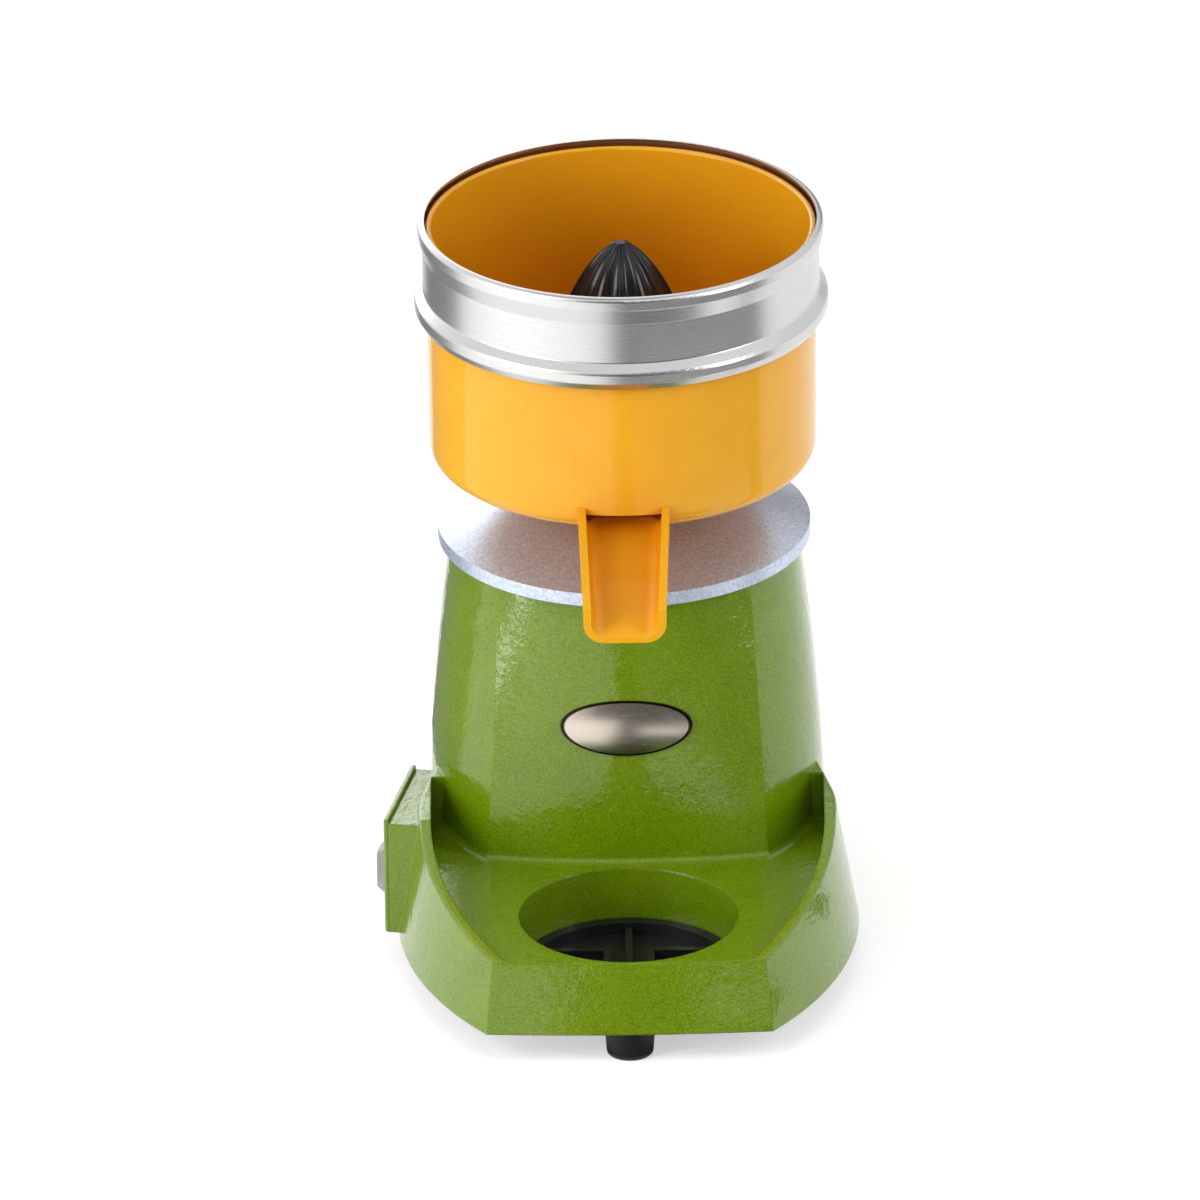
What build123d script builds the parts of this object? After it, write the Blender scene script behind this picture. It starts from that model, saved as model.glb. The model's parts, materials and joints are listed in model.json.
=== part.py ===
from build123d import *
from math import atan2, cos, degrees, pi, radians, sin, sqrt, tan
import os

# Motor-driven citrus juicer: a painted cast housing with a cup recess in its foot, an aluminium
# drip flange, a plastic bowl with a spout, a splash ring, a strainer and a ribbed reamer that a
# motor in the column turns. Millimetres, +Z up, -Y the front, the counter at Z = 0.
# In the names and comments, "reach" is a distance in front of the motor's axis.

# ---------------------------------------------------------------- driving sizes: castings
foot_height = 15.5
deck_rise = 35.5             # skirt's lower edge to the deck
column_rise = 133.0          # deck to the column's top
casting_wall = 5.0
deck_thickness = 5.0
skirt_half_width = 112.0     # at the lower edge, where the skirt is widest
skirt_widest_reach = 86.0
skirt_side_radius = 214.0    # ahead of the widest point
skirt_flare_radius = 110.0   # behind the widest point
skirt_flare_angle = 12.0
skirt_front_reach = 217.2    # middle of the front face, at the lower edge
skirt_front_crown = 2.5
skirt_draft = 10.0
wing_rise = 25.0             # deck to the wings' level stretch beside the column
wing_peak_reach = 99.0       # where the wings' slope and the pocket's curved sides end
pocket_half_width = 95.4
pocket_back_reach = 50.0
pocket_side_radius = 185.0
column_base_radius = 96.4    # round back, at the skirt's lower edge
column_waist_radius = 93.1
column_waist_rise = 59.0     # deck to the column's middle section
column_top_radius = 84.4
column_shoulder_reach = 15.0 # where the straight sides go over into the front flanks
facet_base_half = 70.1       # front facet's half width and the reach of its corners
facet_base_reach = 97.3
facet_base_crown = 0.8
facet_waist_half = 64.9
facet_waist_reach = 79.2
facet_waist_crown = 14.8
facet_top_half = 60.8
deck_fillet = 3.0            # round the column's foot
rim_fillet = 1.5             # along the wings' upper edges

# ---------------------------------------------------------------- cup recess and base plate
cup_radius = 53.0
cup_reach = 156.8
cup_wall = 3.0
cup_depth = 26.7             # deck to the cup stand
plate_thickness = 3.0
plate_clearance = 0.4
stand_ring_width = 8.0
stand_rib = 3.4
stand_rib_drop = 1.8         # ribs below the stand's ring
stand_box_half = 10.6        # half the distance between the two inner ribs
stand_box_reach = 135.0
vent_slot_length = 34.0
vent_slot_width = 4.0
vent_slot_pitch = 10.0
vent_slot_count = 5

# ---------------------------------------------------------------- feet and their screws
foot_top_radius = 12.5
foot_bottom_radius = 11.2
foot_edge = 1.5
front_foot_inset = 14.2       # behind the middle of the front face
rear_foot_inset = 14.0        # inside the column's round back
rear_foot_angle = 52.0        # to each side of straight behind
foot_counterbore = 5.2
foot_counterbore_depth = 8.0
screw_radius = 2.0
screw_head_radius = 4.0
screw_head_height = 2.6
screw_clearance = 0.3
boss_radius = 6.5
plate_screw_side_x = 78.0
plate_screw_side_reach = 140.0
plate_screw_rear_angle = 22.0
plate_screw_length = 12.0

# ---------------------------------------------------------------- drip flange
flange_radius = 90.6
flange_rim_height = 6.6
flange_skin = 2.5
flange_cone_radius = 46.0    # where the cone meets the hub's fillet
flange_cone_rise = 17.5
hub_radius = 30.0
hub_rise = 40.7              # column's top to the hub's shoulder
collar_radius = 20.0
collar_height = 24.0
flange_foot_width = 4.0
flange_screw_radius = 72.0
flange_screw_length = 15.0

# ---------------------------------------------------------------- bowl
seat_gap = 0.3
bowl_top_radius = 94.6
bowl_draw = 1.0              # how much narrower the bowl is at its lower edge
bowl_height = 122.0
bowl_wall = 3.0
bowl_corner = 9.0
chimney_gap = 0.4
chimney_wall = 3.0
chimney_height = 34.0
floor_fall = 2.0
ledge_height = 19.0
ledge_width = 2.2
bead_gap = 0.4               # bead to the ring's lower edge, which passes over it
bead_thickness = 5.0
spout_root_width = 45.0
spout_tip_width = 40.0
spout_depth = 17.5
spout_wall = 3.8
spout_floor = 3.0
spout_corner = 10.0
spout_tip_reach = 147.0
spout_slope = 27.8
spout_root_top = 8.6         # side walls' upper edge above the bowl's floor, at the bowl's wall
window_height = 9.0          # opening's upper edge above the bowl's underside

# ---------------------------------------------------------------- splash ring
ring_skin = 1.2
ring_waist_gap = 0.4          # ring's waist clear of the bowl's rim
ring_rim_step = 2.1           # rim's and bulge's radius over the waist's
ring_bulge_step = 4.2
ring_height = 47.0
ring_rim_height = 6.0        # depth of the upright rim
ring_neck_drop = 14.0        # ring's top to where the waist starts
ring_shoulder_height = 8.0   # ring's lower edge to the 45 degree shoulder
ring_hem = 2.0               # how far the lower edge turns in
ring_hem_height = 3.5
ring_lip_width = 2.6
ring_overrise = 3.0          # ring's rim above the bowl's rim

# ---------------------------------------------------------------- strainer
strainer_thickness = 1.6
strainer_gap = 0.9
strainer_rim = 3.0
strainer_slots = 30
strainer_slot_width = 2.2
strainer_slot_inner = 32.0
strainer_slot_outer = 82.0

# ---------------------------------------------------------------- reamer
reamer_gap = 7.0             # strainer's plate to the reamer's lower edge
reamer_height = 85.0
reamer_radius = 33.5
reamer_skirt = 22.0          # upright lower stretch
reamer_valley = 4.4          # depth between the ribs
reamer_wall = 3.0
reamer_ribs = 6              # full-length ribs, and as many short ones between them
reamer_rib_half = 1.1        # half the width of a rib's crest
reamer_levels = (0.012, 0.05, 0.13, 0.27, 0.45, 0.7, 1.0)  # sections, shares of the dome's height
reamer_short_drop = 1.4      # short ribs below the long ones

# ---------------------------------------------------------------- shaft, bearings and motor
shaft_radius = 6.0
shaft_fit = 0.05
pin_radius = 2.0
pin_half_length = 10.0
pin_height = 18.0            # above the hub's collar
socket_depth = 34.0          # shaft's end above the pin
socket_skin = 2.0            # socket's wall outside the pin's ends
diaphragm_thickness = 6.0
diaphragm_drop = 8.0         # column's top to the diaphragm's upper face
diaphragm_bore = 22.0
bearing_radius = 14.0
bearing_width = 8.0
bearing_inner_radius = 8.6
motor_radius = 58.0
motor_wall = 4.0
bracket_height = 27.0
bracket_plate = 5.0
stator_length = 45.0
stator_bore = 30.0
air_gap = 0.4
winding_inner = 34.0
winding_outer = 51.0
winding_height = 14.0
tie_rod_radius = 2.5
tie_rod_circle = 54.0
tie_rod_head = 4.0
end_ring_height = 6.0
end_ring_width = 6.0
end_ring_inset = 4.0
fan_radius = 40.0
fan_height = 12.0
fan_blades = 8
fan_blade_thickness = 2.0
fan_hub_radius = 10.0
fan_gap = 5.0
washer_thickness = 0.8

# ---------------------------------------------------------------- badge
badge_length = 64.0
badge_width = 27.6
badge_thickness = 1.2
badge_height = 70.0          # centre above the deck

# ---------------------------------------------------------------- switch and its cover
switch_angle = 12.0          # outer face turned towards the back
switch_face_reach = 66.5     # middle of the boss's outer face
switch_face_x = 109.5
switch_length = 64.0
switch_box_height = 58.0
switch_plate_thickness = 2.4
switch_plate_lip = 2.0
switch_centre_height = 25.0  # above the boss's lower edge
switch_shift = 10.0          # switch's centre ahead of the boss's middle
switch_box_depth = 17.0
switch_hole_width = 15.0
switch_hole_height = 21.5
switch_hole_gap = 0.5
switch_body_depth = 15.0
switch_flange_lip = 2.0
switch_flange_thickness = 1.2
rocker_width = 11.0
rocker_height = 16.6
rocker_well_depth = 9.0
rocker_pivot_depth = 4.0
rocker_pin_radius = 1.2
rocker_tilt = 8.0            # to each side of the middle
rocker_gap = 0.4
boot_wall = 0.9
boot_rise = 5.8
boot_taper = 3.0             # how much the boot's crown is set in all round
switch_screw_radius = 1.6
switch_screw_head = 3.2
switch_screw_head_height = 1.6
switch_screw_length = 10.0   # below the plate
switch_screw_inset = 5.5

# ---------------------------------------------------------------- electrical parts inside
capacitor_radius = 12.0
capacitor_length = 52.0
capacitor_x = 74.0
capacitor_reach = 92.0
strap_thickness = 1.5
strap_width = 10.0
terminal_length = 42.0
terminal_width = 16.0
terminal_height = 14.0
terminal_x = 70.0
terminal_reach = 107.0
gland_radius = 8.0
gland_head_radius = 11.0
gland_head = 5.0
gland_bore = 4.0
gland_height = 26.0          # above the skirt's lower edge

# ---------------------------------------------------------------- levels above the counter
skirt_z = foot_height
deck_z = skirt_z + deck_rise
column_z = deck_z + column_rise
wing_z = deck_z + wing_rise
waist_z = deck_z + column_waist_rise
stand_z = deck_z - cup_depth
plate_z = skirt_z + plate_thickness
diaphragm_z = column_z - diaphragm_drop
motor_z = diaphragm_z - diaphragm_thickness
hub_z = column_z + hub_rise
collar_z = hub_z + collar_height
bowl_z = hub_z + seat_gap
floor_z = bowl_z + bowl_wall
bowl_rim_z = bowl_z + bowl_height
ledge_z = bowl_z + ledge_height
strainer_z = ledge_z + seat_gap
reamer_z = strainer_z + strainer_thickness + reamer_gap
pin_z = collar_z + pin_height
shaft_top_z = pin_z + socket_depth
ring_top_z = bowl_rim_z + ring_overrise
ring_z = ring_top_z - ring_height
stator_z = motor_z - bracket_height - stator_length
lower_bracket_z = stator_z - bracket_height
fan_z = lower_bracket_z - fan_gap - fan_height


def swell(height, base, waist, top):
    """Parabola through a column's size at its base, its middle section and its top."""
    low_slope = (waist - base) / (waist_z - skirt_z)
    high_slope = (top - waist) / (column_z - waist_z)
    bend = (high_slope - low_slope) / (column_z - skirt_z)
    return base + low_slope * (height - skirt_z) + bend * (height - skirt_z) * (height - waist_z)


def column_radius_at(height):
    """Radius of the column's round back at a height above the counter."""
    return swell(height, column_base_radius, column_waist_radius, column_top_radius)


# ---------------------------------------------------------------- the motor axis's place
# The origin is under the middle of the whole outline, so the axis stands a little off it.
turn = radians(switch_angle)
boot_stack = switch_plate_thickness + switch_flange_thickness + boot_rise
left_outline = switch_face_x + switch_shift * sin(turn) + boot_stack * cos(turn)
gland_z = skirt_z + gland_height
rear_outline = column_radius_at(gland_z) + gland_head
motor_x = (left_outline - skirt_half_width) / 2
motor_y = (skirt_front_reach - rear_outline) / 2
motor_axis = Axis((motor_x, motor_y, 0), (0, 0, 1))


def level(height):
    """Horizontal plane at a height, its origin on the motor's axis."""
    return Plane(origin=(motor_x, motor_y, height))


def front_plane(reach):
    """Upright plane that faces the front, its origin below the motor's axis moved forward."""
    return Plane(origin=(motor_x, motor_y - reach, 0), x_dir=(1, 0, 0), z_dir=(0, -1, 0))


def side_plane(x):
    """Upright plane that faces +X: its x runs to the back and its y up."""
    return Plane(origin=(motor_x + x, motor_y, 0), x_dir=(0, 1, 0), z_dir=(1, 0, 0))


section_plane = front_plane(0)


def turned(points):
    """Turn a closed outline of (radius, height) points round the motor's axis."""
    with BuildSketch(section_plane) as profile:
        with BuildLine():
            Polyline(*points, close=True)
        make_face()
    revolve(profile.sketch, axis=motor_axis)


def discs(height, places, radius):
    """Equal circles at plan places, on one level."""
    with BuildSketch(level(height)) as plan:
        with Locations(*places):
            Circle(radius)
    return plan.sketch


# ---------------------------------------------------------------- plans of the casting
def skirt_plan(inset, height):
    """Plan of the skirt on a level, all its sides set in by the same amount."""
    side_x = skirt_half_width - skirt_side_radius
    side = skirt_side_radius - inset
    flare_x = skirt_half_width - skirt_flare_radius
    flare = skirt_flare_radius - inset
    corner_y = -(skirt_front_reach - skirt_front_crown - inset)
    corner_x = side_x + sqrt(side**2 - (corner_y + skirt_widest_reach) ** 2)
    middle_y = (corner_y - skirt_widest_reach) / 2
    middle_x = side_x + sqrt(side**2 - (middle_y + skirt_widest_reach) ** 2)
    turn = radians(skirt_flare_angle)
    flare_end = (flare_x + flare * cos(turn), flare * sin(turn) - skirt_widest_reach)
    flare_mid = (flare_x + flare * cos(turn / 2), flare * sin(turn / 2) - skirt_widest_reach)
    back_x = flare_end[0] + flare_end[1] * tan(turn)
    widest = (skirt_half_width - inset, -skirt_widest_reach)
    with BuildSketch(level(height)) as plan:
        with BuildLine():
            ThreePointArc((-corner_x, corner_y), (0, inset - skirt_front_reach),
                          (corner_x, corner_y))
            for hand in (1, -1):
                ThreePointArc((hand * corner_x, corner_y), (hand * middle_x, middle_y),
                              (hand * widest[0], widest[1]))
                ThreePointArc((hand * widest[0], widest[1]), (hand * flare_mid[0], flare_mid[1]),
                              (hand * flare_end[0], flare_end[1]))
                Line((hand * flare_end[0], flare_end[1]), (hand * back_x, 0))
            ThreePointArc((back_x, 0), (0, back_x), (-back_x, 0))
        make_face()
    return plan.sketch


def column_plan(height, inset, radius, corner_x, corner_y, crown):
    """Plan of the column on a level: front facet, two bulging flanks and a round back."""
    flank_angle = 2 * atan2(radius - corner_x, corner_y - column_shoulder_reach)
    corner_x -= inset * tan(radians(45) - flank_angle / 2)
    corner_y -= inset
    radius -= inset
    with BuildSketch(level(height)) as plan:
        with BuildLine():
            for hand in (1, -1):
                shoulder = (hand * column_shoulder_x(height, radius), -column_shoulder_reach)
                side = TangentArc((hand * radius, 0), shoulder, tangent=(0, -1))
                TangentArc(side @ 1, (hand * corner_x, -corner_y), tangent=side % 1)
            SagittaArc((-corner_x, -corner_y), (corner_x, -corner_y), -crown)
            ThreePointArc((radius, 0), (0, radius), (-radius, 0))
        make_face()
    return plan.sketch


def column_shoulder_x(height, radius):
    """Half width at the shoulder: full at the base, on the circle at the top, where it is round."""
    share = (height - skirt_z) / (column_z - skirt_z)
    return radius - share**2 * (radius - sqrt(radius**2 - column_shoulder_reach**2)) - 0.1


def column_plan_at(height, inset):
    """Plan of the swelling column at any height; at its top it is round."""
    top_reach = sqrt(column_top_radius**2 - facet_top_half**2)
    return column_plan(height, inset, column_radius_at(height),
                       swell(height, facet_base_half, facet_waist_half, facet_top_half),
                       swell(height, facet_base_reach, facet_waist_reach, top_reach),
                       swell(height, facet_base_crown, facet_waist_crown,
                             column_top_radius - top_reach))


def build_column(inset):
    """Swelling body through the column's plans at its base, middle and top."""
    loft([column_plan_at(height, inset) for height in (skirt_z, waist_z, column_z)])


def build_skirt(inset, top):
    """Drafted body of the skirt up to a height."""
    set_in = (top - skirt_z) * tan(radians(skirt_draft))
    loft([skirt_plan(inset, skirt_z), skirt_plan(inset + set_in, top)], ruled=True)


# ---------------------------------------------------------------- switch boss
# The switch plane lies on the boss's outer face: its x runs to the front and its y up.
switch_plane = Plane(origin=(motor_x - switch_face_x - switch_shift * sin(turn),
                             motor_y - switch_face_reach - switch_shift * cos(turn),
                             skirt_z + switch_centre_height),
                     x_dir=(-sin(turn), -cos(turn), 0), z_dir=(-cos(turn), sin(turn), 0))
plate_face = switch_plane.offset(switch_plate_thickness)
switch_bottom = -switch_centre_height
switch_top = switch_bottom + switch_box_height
switch_screw_points = [(hand * (switch_length / 2 - switch_screw_inset) - switch_shift, height)
                       for hand in (1, -1) for height in (switch_bottom + switch_screw_inset,
                                                          switch_top - switch_screw_inset)]


def cut_switch_mount():
    """Window for the switch and the holes of its cover's screws, from the switch plane inward."""
    with BuildSketch(switch_plane) as plan:
        Rectangle(switch_hole_width + 2 * switch_hole_gap, switch_hole_height + 2 * switch_hole_gap)
    extrude(plan.sketch, amount=-switch_body_depth - 1, mode=Mode.SUBTRACT)
    with BuildSketch(switch_plane) as holes:
        with Locations(*switch_screw_points):
            Circle(switch_screw_radius)
    extrude(holes.sketch, amount=-switch_screw_length - 1, mode=Mode.SUBTRACT)


# ---------------------------------------------------------------- outer form of the casting
deck_front_reach = skirt_front_reach - deck_rise * tan(radians(skirt_draft))
pocket_front = skirt_front_reach + 10
pocket_front_x = (pocket_half_width - pocket_side_radius
                  + sqrt(pocket_side_radius**2 - (pocket_front - wing_peak_reach) ** 2))
pocket_mid = (pocket_front + wing_peak_reach) / 2
pocket_mid_x = (pocket_half_width - pocket_side_radius
                + sqrt(pocket_side_radius**2 - (pocket_mid - wing_peak_reach) ** 2))

# hollow fillet between the deck and the column's foot; its upper end runs into the column
with BuildPart() as foot_fillet:
    sections = [column_plan_at(deck_z + deck_fillet * (1 - sin(radians(turn))),
                               deck_fillet * (cos(radians(turn)) - 1)) for turn in (90, 55, 25)]
    loft([*sections, column_plan_at(deck_z + 1.5 * deck_fillet, deck_fillet / 2)], ruled=True)
    split(bisect_by=front_plane(pocket_back_reach - deck_fillet), keep=Keep.TOP)

with BuildPart() as form:
    build_skirt(0, wing_z + 2)
    # wings: level beside the column, falling to the front corners
    with BuildSketch(side_plane(0)):
        with BuildLine():
            Polyline((-deck_front_reach, deck_z), (-wing_peak_reach, wing_z),
                     (column_base_radius + 20, wing_z), (column_base_radius + 20, wing_z + 20),
                     (-pocket_front, wing_z + 20), (-pocket_front, deck_z), close=True)
        make_face()
    extrude(amount=skirt_half_width + 10, both=True, mode=Mode.SUBTRACT)
    # rounded outer rim, all but the crease across the wings' highest points
    rim = edges().filter_by(lambda edge: edge.bounding_box().min.Z > deck_z - 0.1
                            and edge.bounding_box().size.Y > 0.1)
    fillet(rim, rim_fillet)
    # boss for the switch on the left side
    with BuildSketch(switch_plane) as boss_face:
        with Locations((-switch_shift, (switch_bottom + switch_top) / 2)):
            Rectangle(switch_length, switch_box_height)
    extrude(boss_face.sketch, amount=-switch_box_depth)
    extrude(boss_face.sketch, amount=switch_plate_thickness, mode=Mode.SUBTRACT)
    # sunken deck between the wings
    with BuildSketch(level(deck_z)):
        with BuildLine():
            Line((-pocket_front_x, -pocket_front), (pocket_front_x, -pocket_front))
            for hand in (1, -1):
                ThreePointArc((hand * pocket_front_x, -pocket_front), (hand * pocket_mid_x, -pocket_mid),
                              (hand * pocket_half_width, -wing_peak_reach))
                Line((hand * pocket_half_width, -wing_peak_reach),
                     (hand * pocket_half_width, -pocket_back_reach))
            Line((pocket_half_width, -pocket_back_reach), (-pocket_half_width, -pocket_back_reach))
        make_face()
    extrude(amount=wing_rise + 20, mode=Mode.SUBTRACT)
    build_column(0)
    add(foot_fillet.part)

# ---------------------------------------------------------------- hollow inside the casting
rear_boss_circle = column_base_radius - casting_wall - 4
rear_boss = [(hand * rear_boss_circle * sin(radians(plate_screw_rear_angle)),
              rear_boss_circle * cos(radians(plate_screw_rear_angle))) for hand in (1, -1)]
side_boss = [(hand * plate_screw_side_x, -plate_screw_side_reach) for hand in (1, -1)]
plate_screw_places = side_boss + rear_boss

with BuildPart() as hollow:
    build_skirt(casting_wall, deck_z - deck_thickness)
    build_column(casting_wall)
    # the cup recess's wall and the screw bosses stay
    with BuildSketch(level(stand_z)):
        with Locations((0, -cup_reach)):
            Circle(cup_radius + cup_wall)
    extrude(amount=cup_depth, mode=Mode.SUBTRACT)
    with BuildSketch(level(plate_z)):
        with Locations(*plate_screw_places):
            Circle(boss_radius)
    extrude(amount=deck_z - deck_thickness - plate_z, mode=Mode.SUBTRACT)
    # the diaphragm that carries the motor
    with BuildSketch(level(motor_z)):
        Circle(column_top_radius)
    extrude(amount=diaphragm_thickness, mode=Mode.SUBTRACT)

with BuildPart() as housing:
    add(form.part)
    add(hollow.part, mode=Mode.SUBTRACT)
    # cup recess, motor opening and screw holes
    with BuildSketch(level(stand_z)):
        with Locations((0, -cup_reach)):
            Circle(cup_radius)
    extrude(amount=cup_depth, mode=Mode.SUBTRACT)
    with BuildSketch(level(motor_z)):
        Circle(diaphragm_bore)
        with PolarLocations(flange_screw_radius, 4, start_angle=45):
            Circle(screw_radius + screw_clearance)
        with PolarLocations(tie_rod_circle, 4):
            Circle(tie_rod_radius)
    extrude(amount=diaphragm_thickness, mode=Mode.SUBTRACT)
    with BuildSketch(level(plate_z)):
        with Locations(*plate_screw_places):
            Circle(screw_radius)
    extrude(amount=plate_screw_length, mode=Mode.SUBTRACT)
    # cable inlet at the back
    with BuildSketch(front_plane(-column_base_radius - 5)):
        with Locations((0, gland_z)):
            Circle(gland_radius)
    extrude(amount=casting_wall + 20, mode=Mode.SUBTRACT)
    cut_switch_mount()

# ---------------------------------------------------------------- base plate
plate_inset = casting_wall + plate_clearance + plate_thickness * tan(radians(skirt_draft))
stand_radius = cup_radius + cup_wall - plate_clearance
stand_inner = stand_radius - stand_ring_width
rear_foot_circle = column_base_radius - rear_foot_inset
rear_feet = [(hand * rear_foot_circle * sin(radians(rear_foot_angle)),
              rear_foot_circle * cos(radians(rear_foot_angle))) for hand in (1, -1)]
front_foot = (0, front_foot_inset - skirt_front_reach)

with BuildPart() as stand_room:
    build_skirt(casting_wall + plate_clearance, stand_z)
    build_column(casting_wall + plate_clearance)

with BuildPart() as base_plate:
    extrude(skirt_plan(plate_inset, skirt_z), amount=plate_thickness)
    extrude(column_plan_at(skirt_z, plate_inset), amount=plate_thickness)
    # cup stand: a raised ring with ribs inside it
    with BuildSketch(level(skirt_z)):
        with Locations((0, -cup_reach)):
            Circle(stand_radius)
    extrude(amount=stand_z - skirt_z)
    add(stand_room.part, mode=Mode.INTERSECT)
    with BuildSketch(level(plate_z)):
        with Locations((0, -cup_reach)):
            Circle(stand_inner)
    extrude(amount=stand_z - plate_z, mode=Mode.SUBTRACT)
    front_rib = cup_reach + stand_inner - stand_box_reach
    with BuildSketch(level(plate_z)):
        with Locations((0, -cup_reach)):
            Rectangle(stand_rib, 2 * stand_inner)
        for hand in (1, -1):
            with Locations((hand * stand_box_half, -stand_box_reach - front_rib / 2)):
                Rectangle(stand_rib, front_rib)
            with Locations((hand * (stand_box_half + stand_inner) / 2, -stand_box_reach)):
                Rectangle(stand_inner - stand_box_half + stand_rib, stand_rib)
        with Locations((0, -cup_reach)):
            Circle(stand_inner + 1, mode=Mode.INTERSECT)
    extrude(amount=stand_z - stand_rib_drop - plate_z)
    # bosses for the rear feet, vent slots under the fan and screw holes
    with BuildSketch(level(plate_z)):
        with Locations(*rear_feet):
            Circle(boss_radius)
    extrude(amount=stand_z - plate_z)
    with BuildSketch(level(skirt_z)):
        with GridLocations(0, vent_slot_pitch, 1, vent_slot_count):
            SlotOverall(vent_slot_length, vent_slot_width)
        with Locations(*plate_screw_places):
            Circle(screw_radius + screw_clearance)
    extrude(amount=plate_thickness, mode=Mode.SUBTRACT)
    with BuildSketch(level(skirt_z)):
        with Locations(front_foot, *rear_feet):
            Circle(screw_radius)
    extrude(amount=stand_z - skirt_z - 1.5, mode=Mode.SUBTRACT)


# ---------------------------------------------------------------- feet and screws
def build_foot(place):
    """Tapered rubber foot with a counterbored screw hole."""
    loft([discs(0, [place], foot_bottom_radius), discs(skirt_z, [place], foot_top_radius)],
         ruled=True)
    fillet(edges().group_by(Axis.Z)[0], foot_edge)
    extrude(discs(0, [place], foot_counterbore), amount=foot_counterbore_depth,
            mode=Mode.SUBTRACT)
    extrude(discs(0, [place], screw_radius + screw_clearance), amount=skirt_z,
            mode=Mode.SUBTRACT)


def build_screws(places, head_z, up, radius, head_radius, head_height, length):
    """Pan-head screws at plan places: head_z is the seat, up says which way the shank runs."""
    way = 1 if up else -1
    extrude(discs(head_z, places, head_radius), amount=-way * head_height)
    extrude(discs(head_z, places, radius), amount=way * length)


with BuildPart() as front_foot_pad:
    build_foot(front_foot)

with BuildPart() as rear_foot_right:
    build_foot(rear_feet[0])

with BuildPart() as rear_foot_left:
    build_foot(rear_feet[1])

with BuildPart() as foot_screws:
    build_screws([front_foot, *rear_feet], foot_counterbore_depth, True, screw_radius,
                 screw_head_radius, screw_head_height, stand_z - foot_counterbore_depth - 3)

with BuildPart() as base_plate_screws:
    build_screws(plate_screw_places, skirt_z, True, screw_radius, screw_head_radius,
                 screw_head_height, plate_thickness + plate_screw_length - 1)

# ---------------------------------------------------------------- drip flange and shaft seal
rim_z = column_z + flange_rim_height
cone_z = rim_z + flange_cone_rise
foot_outer = column_top_radius
foot_inner = foot_outer - flange_foot_width
cone_slope = flange_cone_rise / (flange_radius - flange_cone_radius)
hub_skin = 3.0
seal_inner = shaft_radius + shaft_fit
seal_outer = 12.0
seal_height = 7.0

with BuildPart() as top_flange:
    with BuildSketch(section_plane):
        with BuildLine():
            Polyline((seal_outer, collar_z), (collar_radius, collar_z), (collar_radius, hub_z),
                     (hub_radius, hub_z))
            Line((hub_radius, hub_z), (hub_radius, cone_z + 7))
            Bezier((hub_radius, cone_z + 7), (hub_radius, cone_z + 2), (flange_cone_radius, cone_z))
            Polyline((flange_cone_radius, cone_z), (flange_radius, rim_z), (flange_radius, column_z),
                     (flange_radius - flange_skin, column_z),
                     (flange_radius - flange_skin, rim_z - flange_skin),
                     (flange_cone_radius, cone_z - flange_skin - 0.6),
                     (hub_radius - hub_skin, cone_z + 2), (hub_radius - hub_skin, hub_z - hub_skin),
                     (collar_radius - hub_skin, hub_z - hub_skin),
                     (collar_radius - hub_skin, collar_z - seal_height - hub_skin),
                     (shaft_radius + 1, collar_z - seal_height - hub_skin),
                     (shaft_radius + 1, collar_z - seal_height),
                     (seal_outer, collar_z - seal_height), (seal_outer, collar_z))
        make_face()
    revolve(axis=motor_axis)
    # foot ring that stands on the column, and bosses that reach the diaphragm
    with BuildSketch(section_plane):
        with BuildLine():
            Polyline((foot_inner, column_z), (foot_outer, column_z),
                     (foot_outer, rim_z + cone_slope * (flange_radius - foot_outer) - 1),
                     (foot_inner, rim_z + cone_slope * (flange_radius - foot_inner) - 1), close=True)
        make_face()
    revolve(axis=motor_axis)
    boss_top = rim_z + cone_slope * (flange_radius - flange_screw_radius) - 3.5
    with BuildSketch(level(diaphragm_z)):
        with PolarLocations(flange_screw_radius, 4, start_angle=45):
            Circle(boss_radius)
    extrude(amount=boss_top - diaphragm_z)
    with BuildSketch(level(diaphragm_z)):
        with PolarLocations(flange_screw_radius, 4, start_angle=45):
            Circle(screw_radius)
    extrude(amount=flange_screw_length - diaphragm_thickness + 1, mode=Mode.SUBTRACT)

flange_screw_places = [(flange_screw_radius * cos(radians(45 + 90 * step)),
                        flange_screw_radius * sin(radians(45 + 90 * step))) for step in range(4)]
with BuildPart() as flange_screws:
    build_screws(flange_screw_places, motor_z, True, screw_radius, screw_head_radius,
                 screw_head_height, flange_screw_length)

with BuildPart() as shaft_seal:
    turned([(seal_inner, collar_z - seal_height), (seal_outer, collar_z - seal_height),
            (seal_outer, collar_z), (seal_inner + 3, collar_z), (seal_inner + 3, collar_z - 2),
            (seal_inner, collar_z - 3.5)])

# ---------------------------------------------------------------- splash ring's middle line
ring_waist = bowl_top_radius + ring_waist_gap + ring_skin / 2
ring_rim = ring_waist + ring_rim_step
ring_bulge = ring_waist + ring_bulge_step
ring_shoulder_z = ring_z + ring_shoulder_height


def seat_height(radius):
    """Height of the bowl's seat under the ring's 45 degree shoulder, at a radius."""
    return ring_shoulder_z + ring_bulge - radius - (ring_skin / 2 + seat_gap) * sqrt(2)


# ---------------------------------------------------------------- bowl with its spout
bowl_low_radius = bowl_top_radius - bowl_draw
bowl_inner_top = bowl_top_radius - bowl_wall
bowl_inner_low = bowl_low_radius - bowl_wall
ledge_radius = bowl_inner_low - ledge_width
chimney_inner = collar_radius + chimney_gap
chimney_outer = chimney_inner + chimney_wall
chimney_z = bowl_z + chimney_height
spout_root = bowl_inner_low - 6
spout_fall = tan(radians(spout_slope))
root_top = floor_z + spout_root_top + (bowl_low_radius - spout_root) * spout_fall


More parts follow.
